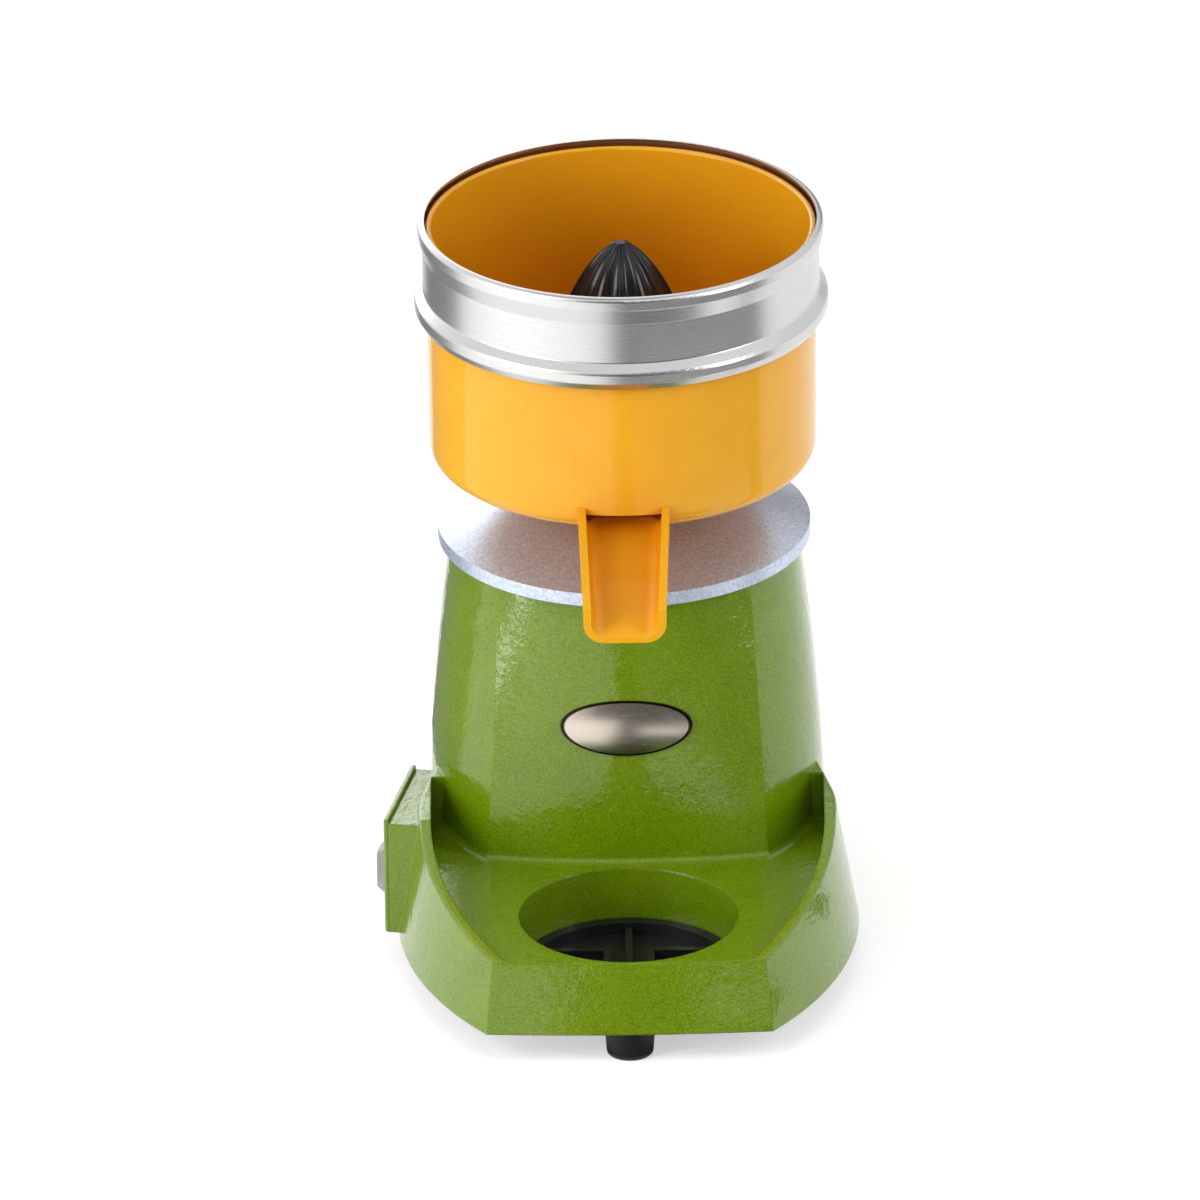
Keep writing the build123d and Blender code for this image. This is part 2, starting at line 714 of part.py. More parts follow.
def draw_trough(reach, inner):
    """Section of the spout across the flow; the inner one is open above."""
    share = (reach - spout_root) / (spout_tip_reach - spout_root)
    width = spout_root_width + share * (spout_tip_width - spout_root_width)
    top = root_top - (reach - spout_root) * spout_fall
    low = top - spout_depth
    corner = spout_corner
    if inner:
        width -= 2 * spout_wall
        low += spout_floor
        top += 30
        corner -= spout_floor
    with Locations((0, (low + top) / 2)):
        trough = Rectangle(width, top - low)
    fillet(trough.vertices().group_by(Axis.Y)[0], corner)


with BuildPart() as channel:
    with BuildSketch(front_plane(spout_root - 4)):
        draw_trough(spout_root - 4, True)
    with BuildSketch(front_plane(spout_tip_reach + 4)):
        draw_trough(spout_tip_reach + 4, True)
    loft(ruled=True)

with BuildPart() as window:
    add(channel.part)
    with BuildSketch(level(bowl_z - 10)):
        Rectangle(2 * bowl_top_radius, 2 * bowl_top_radius)
    extrude(amount=10 + window_height, mode=Mode.INTERSECT)

with BuildPart() as bowl:
    with BuildSketch(front_plane(spout_root)):
        draw_trough(spout_root, False)
    with BuildSketch(front_plane(spout_tip_reach)):
        draw_trough(spout_tip_reach, False)
    loft(ruled=True)
    add(channel.part, mode=Mode.SUBTRACT)
    # inside of the bowl taken out of the spout's root, then the turned wall
    extrude(discs(floor_z, [(0, 0)], ledge_radius), amount=bowl_height, mode=Mode.SUBTRACT)
    extrude(discs(ledge_z, [(0, 0)], bowl_inner_low), amount=bowl_height, mode=Mode.SUBTRACT)
    with BuildSketch(section_plane):
        with BuildLine():
            Polyline((chimney_inner, bowl_z), (bowl_low_radius, bowl_z),
                     (bowl_top_radius, bowl_rim_z), (bowl_inner_top, bowl_rim_z),
                     (bowl_inner_low, ledge_z), (ledge_radius, ledge_z),
                     (ledge_radius, floor_z), (chimney_outer, floor_z + floor_fall),
                     (chimney_outer, chimney_z), (chimney_inner, chimney_z), close=True)
        make_face()
        fillet(vertices().sort_by_distance((bowl_low_radius, bowl_z))[0], bowl_corner)
        fillet(vertices().group_by(Axis.Y)[-1], bowl_wall * 0.4)
    revolve(axis=motor_axis)
    # bead that carries the splash ring on a 45 degree seat
    bead_outer = ring_bulge - ring_hem - ring_skin / 2 - bead_gap
    turned([(bowl_low_radius, seat_height(bead_outer) - bead_thickness),
            (bead_outer - 1.5, seat_height(bead_outer) - bead_thickness),
            (bead_outer, seat_height(bead_outer) - bead_thickness + 1.5),
            (bead_outer, seat_height(bead_outer)), (bowl_low_radius, seat_height(bowl_low_radius))])
    add(window.part, mode=Mode.SUBTRACT)

# ---------------------------------------------------------------- splash ring
with BuildPart() as splash_ring:
    with BuildSketch(section_plane):
        with BuildLine():
            FilletPolyline((ring_bulge - ring_hem, ring_z), (ring_bulge, ring_z + ring_hem_height),
                           (ring_bulge, ring_shoulder_z),
                           (ring_waist, ring_shoulder_z + ring_bulge - ring_waist),
                           (ring_waist, ring_top_z - ring_neck_drop),
                           (ring_rim, ring_top_z - ring_rim_height),
                           (ring_rim, ring_top_z - ring_skin / 2),
                           (ring_rim - ring_lip_width, ring_top_z - ring_skin / 2), radius=1.6)
        trace(line_width=ring_skin)
    revolve(axis=motor_axis)

# ---------------------------------------------------------------- strainer
strainer_inner = chimney_outer + strainer_gap
strainer_outer = bowl_inner_low - strainer_gap
strainer_top = strainer_z + strainer_thickness
slot_length = strainer_slot_outer - strainer_slot_inner
with BuildPart() as strainer:
    turned([(strainer_inner, strainer_z), (strainer_outer, strainer_z),
            (strainer_outer, strainer_z + strainer_rim),
            (strainer_outer - strainer_thickness, strainer_z + strainer_rim),
            (strainer_outer - strainer_thickness, strainer_top),
            (strainer_inner + strainer_thickness, strainer_top),
            (strainer_inner + strainer_thickness, strainer_z + strainer_rim),
            (strainer_inner, strainer_z + strainer_rim)])
    with BuildSketch(level(strainer_z)):
        with PolarLocations((strainer_slot_inner + strainer_slot_outer) / 2, strainer_slots):
            SlotOverall(slot_length, strainer_slot_width)
    extrude(amount=strainer_thickness, mode=Mode.SUBTRACT)

# ---------------------------------------------------------------- reamer
reamer_tip_z = reamer_z + reamer_height
socket_radius = shaft_radius + shaft_fit
socket_outer = pin_half_length + socket_skin


dome_height = reamer_height - reamer_skirt


def dome_radius(fall):
    """Radius over the long ribs at a depth below the reamer's tip: a blunt point, then a bulge."""
    return reamer_radius * (1 - (1 - fall / dome_height) ** 1.6) ** 0.62


def reamer_section(height, radius):
    """Star-shaped section: flat crests, long and short by turns, with hollow grooves between."""
    fade = radius / reamer_radius
    half = reamer_rib_half * sqrt(fade)
    valley = reamer_valley * fade**0.8
    short = radius - reamer_short_drop * fade**0.5
    pitch = 180 / reamer_ribs
    with BuildSketch(level(height)) as plan:
        with BuildLine():
            for step in range(2 * reamer_ribs):
                here, after = (radius, short) if step % 2 == 0 else (short, radius)
                middle = radius - valley
                start, end = (spoke(here, pitch * step, side) for side in (-half, half))
                onward = spoke(after, pitch * (step + 1), -half)
                Line(start, end)
                ThreePointArc(end, spoke(middle, pitch * (step + 0.5), 0), onward)
        make_face()
    return plan.sketch


def spoke(radius, angle, side):
    """Plan point at a radius on a spoke, moved sideways from it."""
    turn = radians(angle)
    return (radius * cos(turn) - side * sin(turn), radius * sin(turn) + side * cos(turn))


with BuildPart() as reamer:
    falls = [share * dome_height for share in reamer_levels]
    sections = [reamer_section(reamer_tip_z - fall, dome_radius(fall)) for fall in falls]
    loft([*sections, reamer_section(reamer_z, reamer_radius)])
    # hollow underside with the shaft's socket left standing in the middle
    hollow_radius = reamer_radius - reamer_valley - reamer_wall
    with BuildSketch(section_plane):
        with BuildLine():
            Polyline((socket_outer, reamer_z), (hollow_radius, reamer_z),
                     (hollow_radius, reamer_z + 24), (socket_outer + 5, shaft_top_z + 2),
                     (socket_outer, shaft_top_z), close=True)
        make_face()
    revolve(axis=motor_axis, mode=Mode.SUBTRACT)
    extrude(discs(reamer_z, [(0, 0)], socket_radius), amount=shaft_top_z + seat_gap - reamer_z,
            mode=Mode.SUBTRACT)
    # slot that rides on the cross pin
    with BuildSketch(level(reamer_z)):
        Rectangle(2 * socket_outer + 2, 2 * (pin_radius + shaft_fit))
        Circle(socket_outer + 1, mode=Mode.INTERSECT)
    extrude(amount=pin_z + pin_radius + seat_gap - reamer_z, mode=Mode.SUBTRACT)

# ---------------------------------------------------------------- shaft, pin and bearings
upper_bearing_z = motor_z - bracket_plate - bearing_width
lower_bearing_z = lower_bracket_z + bracket_plate
shaft_bottom_z = fan_z - 4
clip_groove = 0.5
clip_width = 1.0

with BuildPart() as drive_shaft:
    with BuildSketch(level(shaft_bottom_z)):
        Circle(shaft_radius)
    extrude(amount=shaft_top_z - shaft_bottom_z)
    chamfer(edges().group_by(Axis.Z)[-1], 1)
    with BuildSketch(level(fan_z - clip_width)):
        Circle(shaft_radius + 1)
        Circle(shaft_radius - clip_groove, mode=Mode.SUBTRACT)
    extrude(amount=clip_width, mode=Mode.SUBTRACT)
    with BuildSketch(side_plane(-shaft_radius - 1)):
        with Locations((0, pin_z)):
            Circle(pin_radius)
    extrude(amount=2 * shaft_radius + 2, mode=Mode.SUBTRACT)

with BuildPart() as drive_pin:
    with BuildSketch(side_plane(-pin_half_length)):
        with Locations((0, pin_z)):
            Circle(pin_radius)
    extrude(amount=2 * pin_half_length)

with BuildPart() as shaft_clip:
    with BuildSketch(level(fan_z - clip_width)):
        Circle(shaft_radius + 2)
        Circle(shaft_radius - clip_groove, mode=Mode.SUBTRACT)
        with Locations((0, shaft_radius)):
            Rectangle(3, 2 * shaft_radius, mode=Mode.SUBTRACT)
    extrude(amount=clip_width)


def build_inner_ring(z):
    """Inner ring of a sealed ball bearing."""
    turned([(shaft_radius, z), (bearing_inner_radius, z),
            (bearing_inner_radius, z + bearing_width), (shaft_radius, z + bearing_width)])


def build_outer_ring(z):
    """Outer ring of a sealed ball bearing with both its shields."""
    shield = bearing_inner_radius + shaft_fit
    race = bearing_radius - 2.6
    turned([(shield, z), (bearing_radius, z), (bearing_radius, z + bearing_width),
            (shield, z + bearing_width), (shield, z + bearing_width - 0.8),
            (race, z + bearing_width - 0.8), (race, z + 0.8), (shield, z + 0.8)])


with BuildPart() as upper_bearing_inner:
    build_inner_ring(upper_bearing_z)

with BuildPart() as lower_bearing_inner:
    build_inner_ring(lower_bearing_z)

with BuildPart() as upper_bearing_outer:
    build_outer_ring(upper_bearing_z)

with BuildPart() as lower_bearing_outer:
    build_outer_ring(lower_bearing_z)

# ---------------------------------------------------------------- motor
seat_outer = bearing_radius + motor_wall
shaft_hole = shaft_radius + 1.5
bracket_inner = motor_radius - motor_wall
rod_places = [(tie_rod_circle * cos(radians(90 * step)), tie_rod_circle * sin(radians(90 * step)))
              for step in range(4)]


def drill_tie_rods(bottom, height):
    """Clearance holes for the motor's tie rods."""
    extrude(discs(bottom, rod_places, tie_rod_radius + screw_clearance), amount=height,
            mode=Mode.SUBTRACT)


def add_tie_rod_bosses(bottom, height):
    """Columns in a motor bracket that the tie rods run through."""
    with BuildSketch(level(bottom)) as plan:
        with Locations(*rod_places):
            Circle(tie_rod_radius + 3.5)
        Circle(motor_radius, mode=Mode.INTERSECT)
        Circle(bracket_inner - 6, mode=Mode.SUBTRACT)
    extrude(plan.sketch, amount=height)


with BuildPart() as upper_bracket:
    cup_top = motor_z
    cup_low = motor_z - bracket_height
    turned([(shaft_hole, cup_top), (motor_radius, cup_top), (motor_radius, cup_low),
            (bracket_inner, cup_low), (bracket_inner, cup_top - bracket_plate),
            (seat_outer, cup_top - bracket_plate), (seat_outer, upper_bearing_z),
            (bearing_radius, upper_bearing_z), (bearing_radius, upper_bearing_z + bearing_width),
            (bearing_radius - 2, upper_bearing_z + bearing_width),
            (bearing_radius - 2, cup_top - bracket_plate + 1), (shaft_hole, cup_top - bracket_plate + 1)])
    add_tie_rod_bosses(cup_low, bracket_height)
    drill_tie_rods(cup_low, bracket_height)

with BuildPart() as lower_bracket:
    cup_low = lower_bracket_z
    cup_top = lower_bracket_z + bracket_height
    seat_top = lower_bearing_z + bearing_width
    turned([(shaft_hole, cup_low), (motor_radius, cup_low), (motor_radius, cup_top),
            (bracket_inner, cup_top), (bracket_inner, cup_low + bracket_plate),
            (seat_outer, cup_low + bracket_plate), (seat_outer, seat_top),
            (bearing_radius, seat_top), (bearing_radius, cup_low + bracket_plate - washer_thickness),
            (shaft_hole, cup_low + bracket_plate - washer_thickness)])
    add_tie_rod_bosses(cup_low, bracket_height)
    drill_tie_rods(cup_low, bracket_height)

with BuildPart() as wave_washer:
    washer_z = lower_bearing_z - washer_thickness
    turned([(bearing_radius - 3, washer_z), (bearing_radius - 0.2, washer_z),
            (bearing_radius - 0.2, lower_bearing_z), (bearing_radius - 3, lower_bearing_z)])

with BuildPart() as stator_core:
    with BuildSketch(level(stator_z)):
        Circle(motor_radius)
        Circle(stator_bore, mode=Mode.SUBTRACT)
    extrude(amount=stator_length)
    drill_tie_rods(stator_z, stator_length)

with BuildPart() as stator_windings:
    for winding_z in (stator_z - winding_height, stator_z + stator_length):
        with BuildSketch(section_plane):
            with Locations(((winding_inner + winding_outer) / 2 - tie_rod_radius,
                            winding_z + winding_height / 2)):
                RectangleRounded(winding_outer - winding_inner - 2 * tie_rod_radius, winding_height, 3)
        revolve(axis=motor_axis)

rod_head_z = lower_bracket_z
rod_length = motor_z + diaphragm_thickness - 1 - rod_head_z
with BuildPart() as tie_rods:
    build_screws(rod_places, rod_head_z, True, tie_rod_radius, 2 * tie_rod_radius, tie_rod_head,
                 rod_length)

with BuildPart() as rotor_core:
    rotor_radius = stator_bore - air_gap
    cage = rotor_radius - end_ring_inset
    cage_inner = cage - end_ring_width
    stator_top_z = stator_z + stator_length
    turned([(shaft_radius, stator_z), (cage_inner, stator_z), (cage_inner, stator_z - end_ring_height),
            (cage, stator_z - end_ring_height), (cage, stator_z), (rotor_radius, stator_z),
            (rotor_radius, stator_top_z), (cage, stator_top_z),
            (cage, stator_top_z + end_ring_height), (cage_inner, stator_top_z + end_ring_height),
            (cage_inner, stator_top_z), (shaft_radius, stator_top_z)])

with BuildPart() as cooling_fan:
    with BuildSketch(level(fan_z)):
        Circle(fan_hub_radius)
        Circle(shaft_radius, mode=Mode.SUBTRACT)
    extrude(amount=fan_height)
    with BuildSketch(level(fan_z)):
        Circle(fan_radius)
        Circle(fan_hub_radius, mode=Mode.SUBTRACT)
    extrude(amount=fan_blade_thickness)
    blade_length = fan_radius - fan_hub_radius + 1
    with BuildSketch(level(fan_z)):
        with PolarLocations(fan_hub_radius - 1 + blade_length / 2, fan_blades):
            Rectangle(blade_length, fan_blade_thickness)
    extrude(amount=fan_height)

# ---------------------------------------------------------------- badge
badge_z = deck_z + badge_height
with BuildPart() as badge:
    build_column(-badge_thickness)
    with BuildSketch(front_plane(0)):
        with Locations((0, badge_z)):
            Ellipse(badge_length / 2, badge_width / 2)
    extrude(amount=column_base_radius + 10, mode=Mode.INTERSECT)
    add(form.part, mode=Mode.SUBTRACT)

# ---------------------------------------------------------------- switch and its cover
with BuildPart() as switch_plate:
    with BuildSketch(switch_plane):
        with Locations((-switch_shift, (switch_bottom + switch_top + switch_plate_lip) / 2)):
            Rectangle(switch_length, switch_box_height + switch_plate_lip)
    extrude(amount=switch_plate_thickness)
    outward = Axis(switch_plane.origin, switch_plane.z_dir)
    chamfer(faces().sort_by(outward)[-1].edges(), 0.8)
    with BuildSketch(switch_plane):
        Rectangle(switch_hole_width, switch_hole_height)
        with Locations(*switch_screw_points):
            Circle(switch_screw_radius + screw_clearance)
    extrude(amount=switch_plate_thickness, mode=Mode.SUBTRACT)
    with BuildSketch(plate_face):
        with Locations(*switch_screw_points):
            Circle(switch_screw_head + screw_clearance)
    extrude(amount=-switch_screw_head_height, mode=Mode.SUBTRACT)

with BuildPart() as switch_plate_screws:
    with BuildSketch(plate_face):
        with Locations(*switch_screw_points):
            Circle(switch_screw_head)
    extrude(amount=-switch_screw_head_height)
    with BuildSketch(plate_face):
        with Locations(*switch_screw_points):
            Circle(switch_screw_radius)
    extrude(amount=-switch_plate_thickness - switch_screw_length)

switch_face = plate_face.offset(switch_flange_thickness)
pivot_plane = Plane(origin=switch_face.from_local_coords((0, 0, -rocker_pivot_depth)),
                    x_dir=switch_face.y_dir, z_dir=switch_face.x_dir)
flange_width = switch_hole_width + 2 * switch_flange_lip
flange_height = switch_hole_height + 2 * switch_flange_lip
well_width = rocker_width + 2 * rocker_gap
well_height = rocker_height + 2 * rocker_gap

with BuildPart() as switch_body:
    with BuildSketch(plate_face):
        Rectangle(flange_width, flange_height)
    extrude(amount=switch_flange_thickness)
    with BuildSketch(plate_face):
        Rectangle(switch_hole_width - switch_hole_gap, switch_hole_height - switch_hole_gap)
    extrude(amount=-switch_body_depth)
    with BuildSketch(switch_face):
        Rectangle(well_width, well_height)
    extrude(amount=-rocker_well_depth, mode=Mode.SUBTRACT)
    with BuildSketch(pivot_plane):
        Circle(rocker_pin_radius + shaft_fit)
    extrude(amount=rocker_width / 2 + rocker_gap + 1, both=True, mode=Mode.SUBTRACT)

rocker_half = rocker_height / 2 - 0.4
rocker_crown = rocker_pivot_depth + 1.0
tilt = radians(rocker_tilt)
rocker_plane = Plane(origin=pivot_plane.origin, z_dir=pivot_plane.z_dir,
                     x_dir=pivot_plane.x_dir * cos(tilt) + pivot_plane.y_dir * sin(tilt))
with BuildPart() as rocker:
    with BuildSketch(rocker_plane):
        with BuildLine():
            Polyline((-rocker_half, rocker_crown), (0, rocker_pivot_depth), (rocker_half, rocker_crown),
                     (rocker_half, rocker_crown - 3), (rocker_half * 0.5, -3), (-rocker_half * 0.5, -3),
                     (-rocker_half, rocker_crown - 3), close=True)
        make_face()
    extrude(amount=rocker_width / 2, both=True)
    with BuildSketch(pivot_plane):
        Circle(rocker_pin_radius)
    extrude(amount=rocker_width / 2 + rocker_gap + 0.8, both=True)


def boot_shell(inset):
    """Crown of the boot: a tapered cushion, set in all round by its wall for the inside."""
    with BuildSketch(switch_face) as low:
        RectangleRounded(flange_width - 2 * inset, flange_height - 2 * inset, 3 - inset)
    with BuildSketch(switch_face.offset(boot_rise - inset)) as high:
        RectangleRounded(flange_width - 2 * (boot_taper + inset),
                         flange_height - 2 * (boot_taper + inset), 3 - inset)
    return [low.sketch, high.sketch]


with BuildPart() as switch_boot:
    loft(boot_shell(0), ruled=True)
    loft(boot_shell(boot_wall), ruled=True, mode=Mode.SUBTRACT)

# ---------------------------------------------------------------- cable gland
with BuildPart() as cable_gland:
    with BuildSketch(front_plane(-rear_outline)):
        with Locations((0, gland_z)):
            Circle(gland_head_radius)
    extrude(amount=gland_head + 3)
    add(form.part, mode=Mode.SUBTRACT)
    with BuildSketch(front_plane(-rear_outline)):
        with Locations((0, gland_z)):
            Circle(gland_radius)
    extrude(amount=gland_head + casting_wall + 6)
    with BuildSketch(front_plane(-rear_outline)):
        with Locations((0, gland_z)):
            Circle(gland_bore)
    extrude(amount=gland_head + casting_wall + 6, mode=Mode.SUBTRACT)

# ---------------------------------------------------------------- parts on the base plate
capacitor_z = plate_z + strap_thickness + capacitor_radius
with BuildPart() as capacitor:
    with BuildSketch(front_plane(capacitor_reach)):
        with Locations((capacitor_x, capacitor_z)):
            Circle(capacitor_radius)
    extrude(amount=capacitor_length / 2, both=True)
    fillet(edges(), 1.5)

with BuildPart() as capacitor_strap:
    with BuildSketch(front_plane(capacitor_reach)):
        with Locations((capacitor_x, capacitor_z)):
            Circle(capacitor_radius + strap_thickness)
        with Locations((capacitor_x, plate_z + strap_thickness / 2)):
            Rectangle(2 * capacitor_radius + 14, strap_thickness)
        with Locations((capacitor_x, capacitor_z)):
            Circle(capacitor_radius, mode=Mode.SUBTRACT)
    extrude(amount=strap_width / 2, both=True)

with BuildPart() as terminal_block:
    with BuildSketch(level(plate_z)):
        with Locations((-terminal_x, -terminal_reach)):
            Rectangle(terminal_width, terminal_length)
    extrude(amount=terminal_height)

# ---------------------------------------------------------------- labels and files
os.makedirs("parts", exist_ok=True)
pieces = {
    "housing": housing, "base_plate": base_plate, "front_foot": front_foot_pad,
    "rear_foot_right": rear_foot_right, "rear_foot_left": rear_foot_left,
    "foot_screws": foot_screws, "base_plate_screws": base_plate_screws,
    "top_flange": top_flange, "flange_screws": flange_screws, "shaft_seal": shaft_seal,
    "bowl": bowl, "splash_ring": splash_ring, "strainer": strainer, "reamer": reamer,
    "drive_shaft": drive_shaft, "drive_pin": drive_pin, "shaft_clip": shaft_clip,
    "upper_bearing_inner": upper_bearing_inner, "upper_bearing_outer": upper_bearing_outer,
    "lower_bearing_inner": lower_bearing_inner, "lower_bearing_outer": lower_bearing_outer,
    "upper_bracket": upper_bracket, "lower_bracket": lower_bracket, "wave_washer": wave_washer,
    "stator_core": stator_core, "stator_windings": stator_windings, "tie_rods": tie_rods,
    "rotor_core": rotor_core, "cooling_fan": cooling_fan, "badge": badge,
    "switch_plate": switch_plate, "switch_plate_screws": switch_plate_screws,
    "switch_body": switch_body, "rocker": rocker, "switch_boot": switch_boot,
    "cable_gland": cable_gland,
    "capacitor": capacitor, "capacitor_strap": capacitor_strap, "terminal_block": terminal_block,
}
for name, piece in pieces.items():
    piece.part.label = name
    export_step(piece.part, f"parts/{name}.step")
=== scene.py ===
import json
from math import cos, radians, sin

import bpy
from mathutils import Matrix, Vector


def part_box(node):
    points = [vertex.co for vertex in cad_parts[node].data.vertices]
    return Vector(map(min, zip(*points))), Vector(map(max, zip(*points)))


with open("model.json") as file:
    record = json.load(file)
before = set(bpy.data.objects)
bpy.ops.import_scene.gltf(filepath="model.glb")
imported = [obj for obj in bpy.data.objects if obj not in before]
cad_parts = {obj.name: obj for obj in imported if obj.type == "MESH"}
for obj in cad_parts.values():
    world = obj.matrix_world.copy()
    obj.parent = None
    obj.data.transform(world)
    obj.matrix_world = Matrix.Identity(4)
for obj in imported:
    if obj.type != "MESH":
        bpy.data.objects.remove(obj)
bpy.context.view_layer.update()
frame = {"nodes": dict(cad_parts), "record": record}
nodes = frame["nodes"]

# The motor's axis and the badge's middle, in metres.
AXIS_X, AXIS_Y = (sum(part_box("drive_shaft")[side][k] for side in (0, 1)) / 2 for k in (0, 1))
BADGE_LOW, BADGE_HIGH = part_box("badge")
BADGE_Z = (BADGE_LOW[2] + BADGE_HIGH[2]) / 2

# ------------------------------------------------------------------ camera
IMAGE = 1200
FOCAL_PX = 24770.0
DISTANCE = 12.0
AZIMUTH, ELEVATION, ROLL = radians(0.13), radians(24.6), radians(-0.74)
TARGET = Vector((AXIS_X - 0.01209, AXIS_Y - 0.05902, 0.17371))
SENSOR = 36.0

# The stage: its reach, its cards' reach, and how bright floor and world are, in metres and as
# shares of white.
FLOOR_REACH = 6.0
CARD_REACH = 2.2
CARD_HEIGHT = 0.002
CARD_STEPS = 6
FLOOR_GLOW = 0.5
WORLD_LIGHT = 0.5
OVERHEAD_Z = 1.9
AIM = (0, 0, 0.2)


def make_camera():
    """Camera in front of and above the object, rolled about its own line of sight."""
    away = Vector((sin(AZIMUTH) * cos(ELEVATION), -cos(AZIMUTH) * cos(ELEVATION), sin(ELEVATION)))
    right = (-away).cross(Vector((0, 0, 1))).normalized()
    up = right.cross(-away)
    turned_right = right * cos(ROLL) + up * sin(ROLL)
    turned_up = up * cos(ROLL) - right * sin(ROLL)
    data = bpy.data.cameras.new("camera")
    data.sensor_width = SENSOR
    data.lens = FOCAL_PX / IMAGE * SENSOR
    data.clip_start, data.clip_end = 0.1, 60
    camera = bpy.data.objects.new("camera", data)
    bpy.context.scene.collection.objects.link(camera)
    turn = Matrix((turned_right, turned_up, away)).transposed()
    camera.matrix_world = Matrix.Translation(TARGET + away * DISTANCE) @ turn.to_4x4()
    bpy.context.scene.camera = camera


# ------------------------------------------------------------------ node helpers
class Look:
    """A node material that is filled in step by step."""

    def __init__(self, name, **inputs):
        self.material = bpy.data.materials.new(name)
        self.material.use_nodes = True
        self.tree = self.material.node_tree
        self.shader = self.tree.nodes["Principled BSDF"]
        for key, value in inputs.items():
            self.shader.inputs[key.replace("_", " ")].default_value = value
        self.coords = self.tree.nodes.new("ShaderNodeTexCoord").outputs["Object"]

    def node(self, kind, **settings):
        made = self.tree.nodes.new("ShaderNode" + kind)
        for key, value in settings.items():
            setattr(made, key, value)
        return made

    def link(self, source, target):
        self.tree.links.new(source, target)

    def stretched(self, scale, shift=(0, 0, 0)):
        """Object coordinates, stretched by scale along each axis and then shifted."""
        mapping = self.node("Mapping")
        mapping.inputs["Scale"].default_value = scale
        mapping.inputs["Location"].default_value = shift
        self.link(self.coords, mapping.inputs["Vector"])
        return mapping.outputs["Vector"]

    def noise(self, scale, detail=2.0, roughness=0.5, distortion=0.0, vector=None):
        made = self.node("TexNoise")
        made.inputs["Scale"].default_value = scale
        made.inputs["Detail"].default_value = detail
        made.inputs["Roughness"].default_value = roughness
        made.inputs["Distortion"].default_value = distortion
        self.link(vector or self.coords, made.inputs["Vector"])
        return made.outputs["Fac"]

    def ramp(self, value, *stops):
        """Colour ramp with (position, grey or colour) stops."""
        made = self.node("ValToRGB")
        band = made.color_ramp
        while len(band.elements) < len(stops):
            band.elements.new(0.5)
        for element, (place, colour) in zip(band.elements, stops):
            element.position = place
            element.color = (colour,) * 3 + (1,) if isinstance(colour, float) else (*colour, 1)
        self.link(value, made.inputs["Fac"])
        return made.outputs["Color"]

    def span(self, value, low, high):
        """Maps 0 to 1 onto low to high."""
        made = self.node("MapRange")
        made.inputs["To Min"].default_value = low
        made.inputs["To Max"].default_value = high
        self.link(value, made.inputs["Value"])
        return made.outputs["Result"]

    def blend(self, factor, first, second):
        """Mix of two colours, each a socket or a plain colour, by a factor's socket."""
        made = self.node("Mix", data_type="RGBA")
        sockets = {socket.name: socket for socket in made.inputs if socket.type == "RGBA"}
        for key, value in (("A", first), ("B", second)):
            if hasattr(value, "is_linked"):
                self.link(value, sockets[key])
            else:
                sockets[key].default_value = (*value, 1)
        self.link(factor, made.inputs[0])
        return [socket for socket in made.outputs if socket.type == "RGBA"][0]

    def bump(self, height, distance, strength=1.0, below=None):
        made = self.node("Bump")
        made.inputs["Distance"].default_value = distance
        made.inputs["Strength"].default_value = strength
        self.link(height, made.inputs["Height"])
        if below:
            self.link(below, made.inputs["Normal"])
        return made.outputs["Normal"]

    def soft_edges(self, radius):
        """Normals rounded over the edges."""
        made = self.node("Bevel", samples=4)
        made.inputs["Radius"].default_value = radius
        return made.outputs["Normal"]

    def radius(self):
        """Distance from the motor's axis."""
        flat = self.node("VectorMath", operation="LENGTH")
        self.link(self.stretched((1, 1, 0), (-AXIS_X, -AXIS_Y, 0)), flat.inputs[0])
        return flat.outputs["Value"]

    def along(self, value):
        """A single number as a texture coordinate."""
        made = self.node("CombineXYZ")
        self.link(value, made.inputs[0])
        return made.outputs[0]

    def into(self, name, value):
        self.link(value, self.shader.inputs[name])


# ------------------------------------------------------------------ materials
def green_enamel():
    """Glossy sprayed enamel on a sand casting: fine orange peel, a dark speckle and random lighter
    patches of painted sheen.
    """
    look = Look("green_enamel", Coat_Weight=1.0, Coat_Roughness=0.05, Coat_IOR=1.5)
    look.shader.inputs["Specular IOR Level"].default_value = 0.1
    speckle = look.ramp(look.noise(1500, 2, 0.65), (0.38, 0.0), (0.62, 1.0))
    colour = look.blend(speckle, (0.092, 0.168, 0.0005), (0.195, 0.315, 0.0012))
    # Painted sheen: in random patches the green is mixed towards a lighter green that stands in
    # for shine.
    painted_sheen_patches = look.ramp(look.noise(45, 3, 0.6), (0.3, 0.0), (0.8, 1.0))
    look.into("Base Color", look.blend(look.span(painted_sheen_patches, 0.0, 0.22), colour, (0.27, 0.38, 0.004)))
    look.into("Roughness", look.span(look.noise(400, 2, 0.6), 0.3, 0.48))
    edges = look.soft_edges(0.0016)
    wavy = look.bump(look.noise(170, 1, 0.5), 0.0006, 0.3, edges)
    peel = look.bump(look.noise(420, 2, 0.6, 0.4), 0.00012, 1.0, wavy)
    look.into("Normal", wavy)
    look.into("Coat Normal", peel)
    return look


